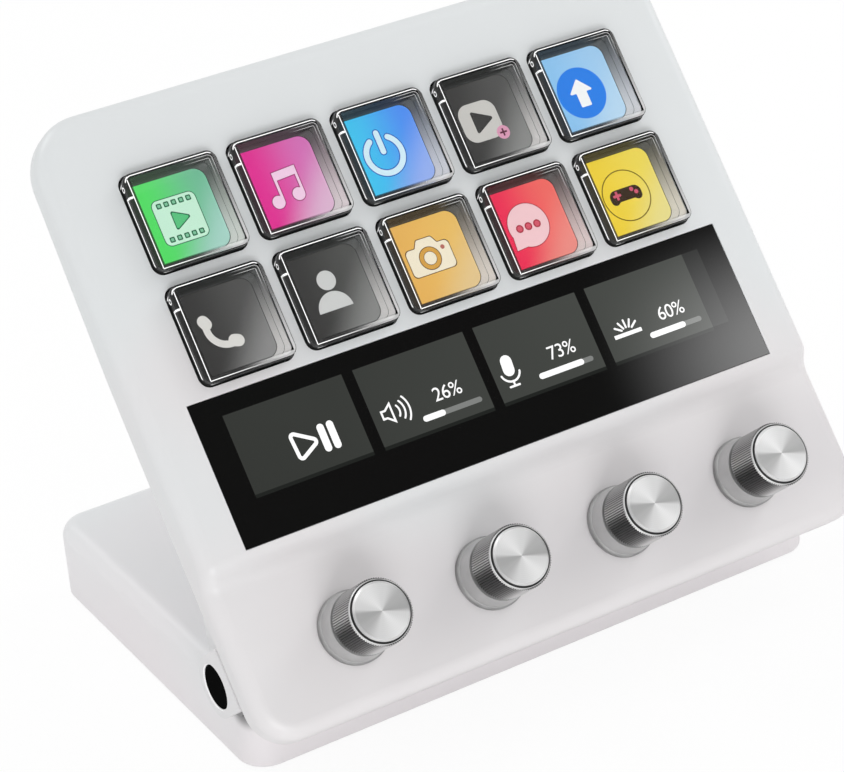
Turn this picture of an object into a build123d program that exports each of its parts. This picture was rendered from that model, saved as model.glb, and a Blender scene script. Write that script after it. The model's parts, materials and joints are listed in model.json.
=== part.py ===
"""Desk macro keypad: a tilting face with ten display keys, a strip screen and four push-turn knobs.

Row frame: +X to the user's right, +Y away from the user, +Z up.  The origin is on the desk, under the
middle of the base.  The face is drawn in its own frame (u right, v up the face, w out of the face) with
its origin on the hinge axis, and is then turned up by TILT and set on the hinge.
"""
from build123d import *
from math import cos, sin, pi, radians
import os

os.makedirs("parts", exist_ok=True)

# ------------------------------------------------------------------ driving dimensions, mm and degrees
TILT = 50.0                 # face above the desk plane at rest
FACE_W = 140.0
BASE_D = 84.0
FIT = 0.1                   # gap between stacked pieces
CUT = 1.0                   # how far a cutting tool runs past the face it cuts

# base
EAR_T = 3.0                 # thickness of the ears that stand beside the base
BASE_TOP = 17.2             # height of its upper surface
BASE_CORNER = 6.0           # rounding of the upright corners
BASE_EDGE = 3.5             # rounding of the upper rim
BASE_UNDER_EDGE = 0.4
BASE_WALL = 2.4
PAD_PROUD = 0.4             # grip pad thickness, the height the base floats at
PAD_INSET = 5.0
COVER_T = 2.0
WEIGHT_T = 6.0
WEIGHT_SIDE = 15.8          # space left beside the weight
WEIGHT_ENDS = 7.7           # space left in front of it and behind it
WEIGHT_R = 2.0
POST_IN = 7.2               # screw posts from the walls of the hollow

# hinge
HINGE_BACK = 5.5            # hinge axis behind the base's front face
HINGE_Z = 18.9
LIP_Z = 12.4                # top of the base in front of the trough
LIP_BACK = 2.0              # where the lip ends, in front of the hinge axis
BARREL_R = 6.8              # face side of the hinge
KNUCKLE_R = 6.2             # base side of the hinge
KNUCKLE_W = 10.0
HINGE_GAP = 0.6             # running gap round the barrel and the knuckles
SIDE_GAP = 0.4              # running gap beside the knuckles and the ears
PIN_R = 2.2
PIN_FIT = 0.05              # pin in the barrel
PIN_PRESS = 0.02            # pin in a knuckle
PIN_SEAT = 3.2              # how far a pin reaches into the barrel on each side
CAP_R = 4.4
CAP_T = 1.3
CAP_SUNK = 0.2
CAP_BEVEL = 0.25

# face housing
CHIN_DROP = 15.5            # chin below the hinge axis
FACE_OUT = 17.2             # w of the upper face
CHIN_OUT = 14.2             # w of the chin
CHIN_BACK = 7.6             # w of the chin's back and of the joint between the two housings
STEP_V = 17.2               # v where the face steps down to the chin
STEP_RUN = 2.8
STEP_R = 3.6
TOP_MARGIN = 14.6           # from the upper key openings to the top edge
TOP_CORNER = 11.5
CHIN_CORNER = 8.0
FACE_EDGE = 3.0
BACK_EDGE = 1.2
WEDGE_FOOT = (25.0, 7.6)    # back edge of the side walls, (v, w)
WEDGE_BEND = (60.0, 8.0)
TOP_BACK = 11.0             # w of the side walls' back edge at the top
SKIN = 2.2
CHIN_SOLID = -5.0           # v below which the chin is solid

# rear housing
PAN_OUT = 3.0               # w of its back
PAN_WALL = 1.8
PAN_TAPER = 3.0
PAN_RIM = 11.5              # w of the edge that sits inside the front housing
PAN_FIT = 0.2
EAR_R = 6.2                 # round ears beside the base, under the side walls
EAR_ROUND = 6.1
RAMP_FOOT = (13.8, 1.0)     # where the ramp behind the barrel meets the pan, (v, w)
RAMP_HEAD = 6.0             # length of the level stretch after it
RAMP_START = 57.0           # degrees round the barrel where the ramp leaves it
POCKET_WALL = 1.6           # barrel wall round the encoders
POCKET_SIDE = 1.0           # space beside an encoder

# keys
KEY_COLS = 5
KEY_ROWS = 2
KEY_MARGIN = 12.5           # face beside the key block
KEY_RIB = 2.5               # face left between two openings
KEYS_ABOVE_GLASS = 1.95
OPENING_R = 2.3
CAP_GAP = 0.35
KEY_PROUD = 2.3
KEY_WALL = 0.6
KEY_PLATE = 1.2
KEY_BEVEL = 0.3
KEY_TRAVEL = 1.4
FLANGE = 0.8                # how far a key's foot reaches past its walls
FLANGE_T = 0.9
FLANGE_GAP = 0.25           # gap round a key's foot
FRAME_T = 2.7
FRAME_PAST = 0.5            # frame past the key block
MAT_T = 0.6
MAT_LAND = 0.3              # left between a pressed key and the mat
MAT_LIP = 0.2               # gap from the mat's windows to the inside of a key's walls
LCD_T = 2.6
LCD_IN = 0.5                # display short of the key block
LCD_R = 1.0
TILE_SIDE = 2.35            # from a key opening's sides to the lit tile under it
TILE_ENDS = 2.1
TILE_R = 0.5
TILE_SUNK = 2.0             # tiles below the face

# strip screen
GLASS_MARGIN = 9.625        # face beside the glass
GLASS_STEP = 3.2            # from the step to the glass
GLASS_H = 28.7
GLASS_T = 1.2
GLASS_GAP = 0.15
GLASS_LEDGE = 1.8           # width of the ledge the glass rests on
GLASS_SUNK = 0.05
STRIP_T = 3.1
STRIP_SIDE = 1.5            # strip display inside the glass's sides
STRIP_ENDS = 0.9
STRIP_R = 0.8

# knobs
KNOBS = 4
KNOB_MARGIN = 24.4          # from the sides of the face to the outer knobs
COLLAR_R = 7.15
COLLAR_RIM = 1.6
COLLAR_TOP_R = 6.5
COLLAR_H = 5.75
COLLAR_BORE = 4.7
COLLAR_BREAK = 0.2          # bevel at the collar's foot
COLLAR_BEVEL = 0.35
NUT_FLATS = 7.6
NUT_T = 1.8
BUSHING_R = 2.95
BUSHING_FIT = 0.05
BUSHING_PAST = 1.2          # bushing past its nut
BUSHING_HOLE = 0.15         # gap round the bushing in the face
ENCODER = 9.4
ENCODER_T = 5.4
ENCODER_R = 0.6
ENCODER_ROOF = 1.0
CHAMBER_R = 2.9             # space inside an encoder for its plunger
CHAMBER_T = 3.6
PLUNGER_R = 2.7
PLUNGER_T = 1.0
PLUNGER_LIFT = 1.6          # plunger at rest above the chamber's floor
PUSH_GAP = 0.75             # left between collar and knob, for a push of 0.6
SHAFT_R = 1.5
SHAFT_FIT = 0.05
SHAFT_FLAT = 0.5
KNURL_R = 6.45
KNURL_DEPTH = 0.26
KNURL_TEETH = 84
KNOB_H = 9.25               # knob without its collar
KNOB_RING = 0.5             # bright chamfer round the knob's front
KNOB_LIP = 0.2
KNOB_GROOVE = 0.28
KNOB_RAISED = 0.55          # face disc above the groove's floor
DISC_R = 5.65
DISC_BEVEL = 0.4
KNOB_SEAT = 0.85            # depth of the disc's recess
KNOB_RELIEF = 1.5
KNOB_BORE = 6.0

# boards and fasteners
BOARD_T = 1.6
BOARD_R = 2.0
BOARD_GAP = 0.6             # between the key display and the main board
BOARD_SIDE = 7.0            # main board from the sides of the face
BOARD_STEP = 4.8            # main board from the step
BOARD_TOP = 10.6            # main board from the top edge
BOARD_POST = 9.0            # posts from the board's edges
BOARD_POST_R = 2.2
LINK_H = 6.0                # strip that joins the encoders' board
LINK_LAP = 1.0
RIBBON_W = 16.0
RIBBON_LAP = 4.0
SCREW_R = 1.2
SCREW_HEAD_R = 2.3
SCREW_HEAD_T = 1.2
SCREW_TIP = 1.0             # space past a screw's tip
CROSS_L = 2.6               # cross recess in a screw's head
CROSS_W = 0.7
CROSS_DEEP = 0.6
BOSS_R = 3.2
BOSS_SIDE = 7.55            # screw bosses from the sides of the face
BOSS_TOP = 13.5             # upper screw bosses from the top edge
USB_W = 9.0
USB_H = 3.3
USB_WALL = 0.35
USB_BACK = 0.6
USB_OPEN = 0.2              # gap round the socket in the housing
USB_IN = 8.0                # socket from the board's lower edge
TONGUE_SIDE = 1.2
TONGUE_T = 0.7
TONGUE_IN = 0.5

# ------------------------------------------------------------------ places worked out from the sizes
BASE_W = FACE_W - 2 * (EAR_T + SIDE_GAP)
EAR_IN = FACE_W / 2 - EAR_T                 # u of an ear's inner side
HINGE_Y = -BASE_D / 2 + HINGE_BACK
TROUGH_R = BARREL_R + HINGE_GAP
SLOT_R = KNUCKLE_R + 2 * HINGE_GAP
FACE_BOTTOM = -CHIN_DROP

GLASS_W = FACE_W - 2 * GLASS_MARGIN
GLASS_V = STEP_V + GLASS_STEP + GLASS_H / 2
PITCH = (FACE_W - 2 * KEY_MARGIN) / KEY_COLS
OPENING = PITCH - KEY_RIB
BLOCK_W = (KEY_COLS - 1) * PITCH
BLOCK_H = (KEY_ROWS - 1) * PITCH
KEY_V = GLASS_V + GLASS_H / 2 + KEYS_ABOVE_GLASS + (OPENING + BLOCK_H) / 2
KEY_U = [(c - (KEY_COLS - 1) / 2) * PITCH for c in range(KEY_COLS)]
KEY_CENTRES = [(u, KEY_V + ((KEY_ROWS - 1) / 2 - r) * PITCH) for r in range(KEY_ROWS) for u in KEY_U]
CAP_SIZE = OPENING - 2 * CAP_GAP
CAP_CORNER = OPENING_R - CAP_GAP
FACE_TOP = KEY_V + (BLOCK_H + OPENING) / 2 + TOP_MARGIN
WEDGE = [WEDGE_FOOT, WEDGE_BEND, (FACE_TOP, TOP_BACK)]

UNDERSIDE = FACE_OUT - SKIN                 # w of the inside of the upper face
FRAME_BACK = UNDERSIDE - FIT - FRAME_T
KEY_FOOT = FRAME_BACK + KEY_TRAVEL + MAT_LAND
LCD_OUT = FRAME_BACK - MAT_T - 2 * FIT
BOARD_OUT = LCD_OUT - LCD_T - BOARD_GAP

MAIN_W = FACE_W - 2 * BOARD_SIDE
MAIN_LOW = STEP_V + BOARD_STEP
MAIN_H = FACE_TOP - BOARD_TOP - MAIN_LOW
MAIN_V = MAIN_LOW + MAIN_H / 2
USB_V = MAIN_LOW + USB_IN

KNOB_PITCH = (FACE_W - 2 * KNOB_MARGIN) / (KNOBS - 1)
KNOB_U = [(k - (KNOBS - 1) / 2) * KNOB_PITCH for k in range(KNOBS)]
KNUCKLE_X = [-KNOB_PITCH, KNOB_PITCH]
ENCODER_OUT = CHIN_OUT - SKIN - FIT         # w of an encoder's front
CHAMBER_LOW = ENCODER_OUT - ENCODER_ROOF - CHAMBER_T
BUSHING_OUT = CHIN_OUT + NUT_T + BUSHING_PAST
PLUNGER_LOW = CHAMBER_LOW + PLUNGER_LIFT
KNOB_LOW = CHIN_OUT + COLLAR_H + PUSH_GAP
KNOB_BOARD_OUT = ENCODER_OUT - ENCODER_T
SHELF = SLOT_R + POCKET_WALL                # v of the wall behind the knuckle slots

HOLLOW_FRONT = HINGE_Y + TROUGH_R + BASE_WALL
HOLLOW_REAR = BASE_D / 2 - BASE_WALL
HOLLOW_Y = (HOLLOW_FRONT + HOLLOW_REAR) / 2
HOLLOW_W = BASE_W - 2 * BASE_WALL
HOLLOW_D = HOLLOW_REAR - HOLLOW_FRONT
POST_BORE = BASE_TOP - 2 * BASE_WALL        # top of the screw holes in the base
COVER_OUT = PAD_PROUD + COVER_T


def on_face(part):
    """Turn a part from the face frame up to the tilt and set it on the hinge."""
    return Pos(0, HINGE_Y, HINGE_Z) * Rot(TILT, 0, 0) * part


def save(name, part, tilted=True):
    """Write one node's STEP file."""
    part = on_face(part) if tilted else part
    export_step(part, f"parts/{name}.step")


def block(w, h, low, high, r=0.0, u=0.0, v=0.0):
    """A plate w by h, rounded by r, from w = low to w = high."""
    flat = RectangleRounded(w, h, r) if r else Rectangle(w, h)
    return Pos(u, v, low) * extrude(flat, amount=high - low)


def rod(r, low, high, u=0.0, v=0.0):
    """A cylinder along w."""
    return Pos(u, v, low) * extrude(Circle(r), amount=high - low)


def cross_rod(r, left, right, y=0.0, z=0.0):
    """A cylinder along X."""
    return Pos(left, y, z) * extrude(Plane.YZ * Circle(r), amount=right - left)


def side_form(profile, left, right):
    """Extrude a (v, w) profile along u."""
    return Pos(left, 0, 0) * extrude(Plane.YZ * profile, amount=right - left)


def polygon(points):
    return make_face(Polyline(*points, close=True))


def fillet_at(face, spots):
    """Round the corners of a flat face that lie at the given (point, radius) pairs."""
    for spot, r in spots:
        corner = min(face.vertices(), key=lambda p: (p.X - spot[0]) ** 2 + (p.Y - spot[1]) ** 2)
        face = fillet(corner, r)
    return face


# ------------------------------------------------------------------ face housings
def face_outline(inset=0.0):
    """Front outline of the face, pulled in by inset, as a flat shape in (u, v)."""
    left, right = -FACE_W / 2 + inset, FACE_W / 2 - inset
    low, high = FACE_BOTTOM + inset, FACE_TOP - inset
    flat = polygon([(left, low), (right, low), (right, high), (left, high)])
    spots = [((u, low), CHIN_CORNER - inset) for u in (left, right)]
    spots += [((u, high), TOP_CORNER - inset) for u in (left, right)]
    return fillet_at(flat, spots)


def face_profile(inset, low, back):
    """Side view of the face: chin, step and upper face on the front, the given points behind."""
    foot, head = STEP_V - STEP_RUN / 2, STEP_V + STEP_RUN / 2
    front = [(low, CHIN_OUT - inset), (foot, CHIN_OUT - inset), (head, FACE_OUT - inset),
             (FACE_TOP - inset, FACE_OUT - inset)]
    return fillet_at(polygon(front + back), [(front[1], STEP_R), (front[2], STEP_R)])


def rim_edges(body, side, beyond):
    """Edges between the side walls and the front (side 1) or the back (side -1), above v = beyond."""
    walls = [f for f in body.faces() if abs(f.normal_at(f.center()).Z) < 0.1]
    wall_edges = {e for f in walls for e in f.edges()}
    caps = [f for f in body.faces() if f.normal_at(f.center()).Z * side > 0.3]
    return [e for f in caps for e in f.edges() if e in wall_edges and e.center().Y > beyond]


def boss_places():
    """Where the screws that hold the two housings together stand, (u, v)."""
    return [(s * (FACE_W / 2 - BOSS_SIDE), v) for s in (-1, 1) for v in (GLASS_V, FACE_TOP - BOSS_TOP)]


def front_housing():
    back = list(reversed(WEDGE)) + [(FACE_BOTTOM, CHIN_BACK)]
    side = face_profile(0.0, FACE_BOTTOM, back)
    body = side_form(side, -FACE_W / 2, FACE_W / 2) & extrude(face_outline(), amount=FACE_OUT)
    body = fillet(rim_edges(body, 1, FACE_BOTTOM - CUT), FACE_EDGE)
    body = fillet(rim_edges(body, -1, WEDGE_FOOT[0]), BACK_EDGE)
    hollow = face_profile(SKIN, CHIN_SOLID, [(FACE_TOP - SKIN, 0.0), (CHIN_SOLID, 0.0)])
    body -= side_form(hollow, -FACE_W / 2, FACE_W / 2) & extrude(face_outline(SKIN), amount=FACE_OUT)
    for u, v in KEY_CENTRES:
        body -= block(OPENING, OPENING, UNDERSIDE - CUT, FACE_OUT + CUT, OPENING_R, u, v)
    pocket_w, pocket_h = GLASS_W + 2 * GLASS_GAP, GLASS_H + 2 * GLASS_GAP
    body -= block(pocket_w, pocket_h, FACE_OUT - GLASS_T - GLASS_SUNK, FACE_OUT + CUT, 0, 0, GLASS_V)
    body -= block(GLASS_W - 2 * GLASS_LEDGE, GLASS_H - 2 * GLASS_LEDGE, 0, FACE_OUT, 0, 0, GLASS_V)
    for u in KNOB_U:
        body -= rod(BUSHING_R + BUSHING_HOLE, CHIN_OUT - SKIN - CUT, CHIN_OUT + CUT, u)
    for u, v in boss_places():
        body += rod(BOSS_R, PAN_OUT + PAN_WALL + FIT, UNDERSIDE, u, v)
        body -= rod(SCREW_R + FIT, 0, UNDERSIDE - SCREW_TIP, u, v)
    return body


def ear_profile():
    """Side view of the ear that carries the hinge end, hanging from the front housing's side wall."""
    low, high = (-EAR_R, -EAR_R), (EAR_R, -EAR_R)
    ear = polygon([(-EAR_R, CHIN_BACK), low, high, (EAR_R, CHIN_BACK)])
    return fillet_at(ear, [(low, EAR_ROUND), (high, EAR_ROUND)])


def barrel_profile():
    """Side view of the round barrel and the ramp behind it, between the two ears."""
    start = (BARREL_R * cos(radians(RAMP_START)), -BARREL_R * sin(radians(RAMP_START)))
    ramp = polygon([(-BARREL_R, CHIN_BACK), (-BARREL_R, 0.0), (0.0, 0.0), start, RAMP_FOOT,
                    (WEDGE_FOOT[0] - RAMP_HEAD, PAN_OUT), WEDGE_FOOT])
    return ramp + Circle(BARREL_R)


def pan(inset, low):
    """Rear pan of the upper face, pulled in by inset, with its back rim cut off at a slope."""
    above = Pos(0, low + FACE_W) * Rectangle(2 * FACE_W, 2 * FACE_W)
    flat = face_outline(SKIN + PAN_FIT + inset) & above
    back = PAN_OUT + inset
    body = Pos(0, 0, back) * extrude(flat, amount=PAN_RIM - back)
    rim = [e for e in body.edges() if abs(e.center().Z - back) < FIT and e.center().Y > low + FIT]
    return chamfer(rim, PAN_TAPER - inset / 2)


def encoder_pockets():
    """Stretches of the barrel, from u to u, that are hollow for the encoders."""
    reach = ENCODER / 2 + POCKET_SIDE
    inner, outer = KNOB_PITCH / 2, 3 * KNOB_PITCH / 2
    return [(-inner - reach, inner + reach), (outer - reach, outer + reach), (-outer - reach, reach - outer)]


def board_posts():
    """Posts under the main board, (u, v)."""
    across, up = MAIN_W / 2 - BOARD_POST, MAIN_H / 2 - BOARD_POST
    return [(su * across, MAIN_V + sv * up) for su in (-1, 1) for sv in (-1, 1)]


def rear_housing():
    half = FACE_W / 2
    body = side_form(barrel_profile(), -EAR_IN, EAR_IN) + pan(0.0, CHIN_SOLID + 2 * BARREL_R)
    for left, right in ((-half, -EAR_IN), (EAR_IN, half)):
        body += side_form(ear_profile(), left, right)
    body -= pan(PAN_WALL, SHELF)
    inner = BARREL_R - POCKET_WALL
    channel = polygon([(-inner, 0), (SHELF, POCKET_WALL / 2), (SHELF, PAN_RIM), (-inner, PAN_RIM)])
    for left, right in encoder_pockets():
        body -= side_form(Circle(inner) + channel, left, right)
    for x in KNUCKLE_X:
        slot = KNUCKLE_W / 2 + SIDE_GAP
        body -= cross_rod(SLOT_R, x - slot, x + slot)
        seat = slot + PIN_SEAT + FIT
        body -= cross_rod(PIN_R + PIN_FIT, x - seat, x + seat)
    for s in (-1, 1):
        end = Pos(s * half, 0, 0)
        body -= end * Rot(0, 90, 0) * Cylinder(CAP_R + FIT, 2 * (CAP_T + CAP_SUNK))
        body -= end * Rot(0, -90 * s, 0) * Cone(CAP_R + FIT + CAP_BEVEL, CAP_R + FIT, CAP_BEVEL,
                                                align=(Align.CENTER, Align.CENTER, Align.MIN))
    for u, v in boss_places():
        body -= rod(BOSS_R + FIT, PAN_OUT + PAN_WALL, PAN_RIM, u, v)
        body -= rod(SCREW_R + FIT, 0, PAN_RIM, u, v)
        body -= rod(SCREW_HEAD_R + FIT, 0, PAN_OUT + SCREW_HEAD_T, u, v)
    for u, v in board_posts():
        body += rod(BOARD_POST_R, PAN_OUT + PAN_WALL / 2, BOARD_OUT - BOARD_T, u, v)
    port_w, port_h = USB_W + 2 * USB_OPEN, USB_H + 2 * USB_OPEN
    return body - block(port_w, port_h, 0, PAN_OUT + PAN_WALL + CUT, USB_H / 2, 0, USB_V)


def hinge_cap(side):
    left = FACE_W / 2 - CAP_SUNK - CAP_T
    disc = cross_rod(CAP_R, left, left + CAP_T)
    disc = fillet(disc.edges().sort_by(Axis.X)[-1], CAP_BEVEL)
    return disc if side > 0 else mirror(disc, Plane.YZ)


def screws(places, head_low, tip):
    """Pan-head screws along w with their heads' outer faces at head_low and their tips at tip."""
    every = Part()
    for u, v in places:
        every += rod(SCREW_HEAD_R, head_low, head_low + SCREW_HEAD_T, u, v)
        every += rod(SCREW_R, head_low, tip, u, v)
        every -= block(CROSS_L, CROSS_W, head_low - CUT, head_low + CROSS_DEEP, 0, u, v)
        every -= block(CROSS_W, CROSS_L, head_low - CUT, head_low + CROSS_DEEP, 0, u, v)
    return every


# ------------------------------------------------------------------ keys and screens
def keycap(u, v):
    """Clear cap: a bevelled top plate on four walls, with a foot that holds it under the face."""
    top = FACE_OUT + KEY_PROUD
    cap = block(CAP_SIZE, CAP_SIZE, KEY_FOOT, top, CAP_CORNER)
    cap = chamfer(cap.faces().sort_by(Axis.Z)[-1].edges(), KEY_BEVEL)
    foot = CAP_SIZE + 2 * FLANGE
    cap += block(foot, foot, KEY_FOOT, KEY_FOOT + FLANGE_T, OPENING_R)
    inner = CAP_SIZE - 2 * KEY_WALL
    cap -= block(inner, inner, KEY_FOOT - CUT, top - KEY_PLATE, CAP_CORNER - KEY_WALL / 2)
    return Pos(u, v, 0) * cap


def key_sheet(low, high, window, r, past):
    """A sheet under the key block, reaching past it, with one window for each key."""
    wide, tall = BLOCK_W + PITCH + 2 * past, BLOCK_H + PITCH + 2 * past
    sheet = block(wide, tall, low, high, OPENING_R, 0, KEY_V)
    for u, v in KEY_CENTRES:
        sheet -= block(window, window, low - CUT, high + CUT, r, u, v)
    return sheet


def key_frame():
    window = CAP_SIZE + 2 * (FLANGE + FLANGE_GAP)
    return key_sheet(FRAME_BACK, FRAME_BACK + FRAME_T, window, OPENING_R, FRAME_PAST)


def key_mat():
    window = CAP_SIZE - 2 * KEY_WALL + 2 * MAT_LIP
    return key_sheet(LCD_OUT + FIT, LCD_OUT + FIT + MAT_T, window, CAP_CORNER, 0.0)


def key_display():
    """One display with a raised tile under each key."""
    wide, tall = BLOCK_W + PITCH - 2 * LCD_IN, BLOCK_H + PITCH - 2 * LCD_IN
    display = block(wide, tall, LCD_OUT - LCD_T, LCD_OUT, LCD_R, 0, KEY_V)
    for u, v in KEY_CENTRES:
        display += block(OPENING - 2 * TILE_SIDE, OPENING - 2 * TILE_ENDS, LCD_OUT - LCD_T / 2,
                         FACE_OUT - TILE_SUNK, TILE_R, u, v)
    return display


def strip_glass():
    return block(GLASS_W, GLASS_H, FACE_OUT - GLASS_SUNK - GLASS_T, FACE_OUT - GLASS_SUNK, 0, 0, GLASS_V)


def strip_display():
    high = UNDERSIDE - FIT
    wide, tall = GLASS_W - 2 * STRIP_SIDE, GLASS_H - 2 * STRIP_ENDS
    return block(wide, tall, high - STRIP_T, high, STRIP_R, 0, GLASS_V)


# ------------------------------------------------------------------ boards
def main_board():
    board = block(MAIN_W, MAIN_H, BOARD_OUT - BOARD_T, BOARD_OUT, BOARD_R, 0, MAIN_V)
    for u, v in boss_places():
        board -= rod(BOSS_R + 2 * FIT, 0, FACE_OUT, u, v)
    return board


def knob_board():
    """Strip above the knuckle slots with a tab down behind each group of encoders."""
    low, high = KNOB_BOARD_OUT - BOARD_T, KNOB_BOARD_OUT
    shelf = SHELF + FIT
    wide = 2 * encoder_pockets()[1][1] - POCKET_SIDE
    board = block(wide, LINK_H, low, high, 0, 0, shelf + LINK_H / 2)
    foot, top = -ENCODER / 2, shelf + LINK_LAP
    for left, right in encoder_pockets():
        middle = ((left + right) / 2, (top + foot) / 2)
        board += block(right - left - POCKET_SIDE, top - foot, low, high, 0, *middle)
    return board


def board_ribbon():
    foot = SHELF + FIT + LINK_LAP
    top = MAIN_LOW + RIBBON_LAP
    return block(RIBBON_W, top - foot, KNOB_BOARD_OUT, BOARD_OUT - BOARD_T, 0, 0, (top + foot) / 2)


def usb_socket():
    low, high = PAN_OUT + FIT, BOARD_OUT - BOARD_T
    shell = block(USB_W, USB_H, low, high, USB_H / 2 - FIT)
    wide, tall = USB_W - 2 * USB_WALL, USB_H - 2 * USB_WALL
    inner = block(wide, tall, low - CUT, high - USB_BACK, tall / 2 - FIT)
    tongue = block(USB_W - 2 * TONGUE_SIDE, TONGUE_T, low + TONGUE_IN, high)
    return Pos(0, USB_V, 0) * (shell - inner + tongue)


# ------------------------------------------------------------------ knobs, along w at v = 0
def knob_collar(u):
    """Turned collar fixed to the chin: a low rim and a steep cone, bored to clear the nut."""
    half = polygon([(COLLAR_BORE, 0), (COLLAR_R - COLLAR_BREAK, 0), (COLLAR_R, COLLAR_BREAK),
                    (COLLAR_R, COLLAR_RIM - COLLAR_BEVEL), (COLLAR_R - COLLAR_BEVEL, COLLAR_RIM),
                    (COLLAR_TOP_R, COLLAR_H), (COLLAR_BORE, COLLAR_H)])
    return Pos(u, 0, CHIN_OUT) * revolve(Plane.XZ * half, Axis.Z)


def encoder_body(u):
    body = block(ENCODER, ENCODER, KNOB_BOARD_OUT, ENCODER_OUT, ENCODER_R)
    body += rod(BUSHING_R, ENCODER_OUT, BUSHING_OUT)
    body -= rod(CHAMBER_R, CHAMBER_LOW, CHAMBER_LOW + CHAMBER_T)
    body -= rod(SHAFT_R + SHAFT_FIT, CHAMBER_LOW, BUSHING_OUT + CUT)
    return Pos(u, 0, 0) * body


def encoder_nut(u):
    hexagon = RegularPolygon(NUT_FLATS / 2, 6, major_radius=False)
    nut = extrude(hexagon - Circle(BUSHING_R + BUSHING_FIT), amount=NUT_T)
    return Pos(u, 0, CHIN_OUT) * nut


def encoder_plunger(u):
    return rod(PLUNGER_R, PLUNGER_LOW, PLUNGER_LOW + PLUNGER_T, u)


def encoder_shaft(u):
    """D-shaft from the plunger up into the knob."""
    low, high = PLUNGER_LOW + PLUNGER_T + SHAFT_FIT, KNOB_LOW + KNOB_BORE - SHAFT_FIT
    flat = block(2 * SHAFT_R, 2 * SHAFT_R, KNOB_LOW, high + CUT, 0, 2 * SHAFT_R - SHAFT_FLAT)
    return Pos(u, 0, 0) * (rod(SHAFT_R, low, high) - flat)


def knob_sleeve(u):
    """Straight-knurled sleeve with a bright front chamfer and a recess that takes the face disc."""
    high = KNOB_LOW + KNOB_H - KNOB_RAISED
    neck, root = high - KNOB_RING, KNURL_R - KNURL_DEPTH
    tips = [KNURL_R - KNURL_DEPTH * (i % 2) for i in range(2 * KNURL_TEETH)]
    points = [(r * cos(pi * i / KNURL_TEETH), r * sin(pi * i / KNURL_TEETH)) for i, r in enumerate(tips)]
    sleeve = Pos(0, 0, KNOB_LOW) * extrude(polygon(points), amount=neck - KNOB_LOW)
    sleeve += rod(root, KNOB_LOW, neck)
    ring = polygon([(0, 0), (KNURL_R - KNOB_LIP, 0), (KNURL_R - KNOB_LIP, KNOB_LIP),
                    (KNURL_R - KNOB_RING, KNOB_RING), (0, KNOB_RING)])
    sleeve += Pos(0, 0, neck) * revolve(Plane.XZ * ring, Axis.Z)
    sleeve -= rod(DISC_R + KNOB_GROOVE, high - KNOB_SEAT, high + CUT)
    sleeve -= rod(COLLAR_BORE, KNOB_LOW - CUT, KNOB_LOW + KNOB_RELIEF)
    bore = rod(SHAFT_R + SHAFT_FIT, KNOB_LOW, KNOB_LOW + KNOB_BORE)
    key = 2 * SHAFT_R - SHAFT_FLAT + SHAFT_FIT
    bore -= block(2 * SHAFT_R, 2 * SHAFT_R, KNOB_LOW, KNOB_LOW + KNOB_BORE, 0, key)
    return Pos(u, 0, 0) * (sleeve - bore)


def knob_face(u):
    high = KNOB_LOW + KNOB_H
    disc = rod(DISC_R, high - KNOB_RAISED - KNOB_SEAT, high)
    return Pos(u, 0, 0) * chamfer(disc.edges().sort_by(Axis.Z)[-1], DISC_BEVEL)


# ------------------------------------------------------------------ base
def base_posts():
    """Screw posts in the corners of the base's hollow, (x, y)."""
    across = HOLLOW_W / 2 - POST_IN
    return [(s * across, y) for s in (-1, 1) for y in (HOLLOW_FRONT + POST_IN, HOLLOW_REAR - POST_IN)]


def base_hollow():
    """Space inside the base, from its underside up, behind the trough."""
    return block(HOLLOW_W, HOLLOW_D, 0, BASE_TOP - BASE_WALL, BASE_CORNER - BASE_WALL, 0, HOLLOW_Y)


def base_shell():
    """Slab with a trough along its front for the barrel, two knuckles in it and a hollow underneath."""
    body = block(BASE_W, BASE_D, PAD_PROUD, BASE_TOP, BASE_CORNER)
    body = fillet(body.faces().sort_by(Axis.Z)[-1].edges(), BASE_EDGE)
    body = fillet(body.faces().sort_by(Axis.Z)[0].edges(), BASE_UNDER_EDGE)
    front = -BASE_D / 2 - CUT
    back = HINGE_Y - LIP_BACK
    body -= block(BASE_W + CUT, back - front, LIP_Z, BASE_TOP + CUT, 0, 0, (front + back) / 2)
    ends = [-BASE_W] + [x + s * KNUCKLE_W / 2 for x in KNUCKLE_X for s in (-1, 1)] + [BASE_W]
    for left, right in zip(ends[0::2], ends[1::2]):
        body -= cross_rod(TROUGH_R, left, right, HINGE_Y, HINGE_Z)
    for x in KNUCKLE_X:
        body += cross_rod(KNUCKLE_R, x - KNUCKLE_W / 2, x + KNUCKLE_W / 2, HINGE_Y, HINGE_Z)
        body -= cross_rod(PIN_R + PIN_PRESS, x - KNUCKLE_W, x + KNUCKLE_W, HINGE_Y, HINGE_Z)
    body -= base_hollow()
    for x, y in base_posts():
        body += rod(BOSS_R, COVER_OUT + FIT, BASE_TOP - BASE_WALL / 2, x, y)
        body -= rod(SCREW_R + FIT, 0, POST_BORE, x, y)
    return body


def base_cover():
    cover = block(HOLLOW_W - 2 * FIT, HOLLOW_D - 2 * FIT, PAD_PROUD, COVER_OUT,
                  BASE_CORNER - BASE_WALL - FIT, 0, HOLLOW_Y)
    for x, y in base_posts():
        cover -= rod(SCREW_R + FIT, 0, BASE_TOP, x, y)
        cover -= rod(SCREW_HEAD_R + FIT, 0, PAD_PROUD + SCREW_HEAD_T, x, y)
    return cover


def base_weight():
    wide, deep = HOLLOW_W - 2 * WEIGHT_SIDE, HOLLOW_D - 2 * WEIGHT_ENDS
    return block(wide, deep, COVER_OUT + FIT, COVER_OUT + FIT + WEIGHT_T, WEIGHT_R, 0, HOLLOW_Y)


def grip_pad():
    return block(BASE_W - 2 * PAD_INSET, BASE_D - 2 * PAD_INSET, 0, PAD_PROUD, BASE_CORNER - PAD_INSET / 2)


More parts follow.
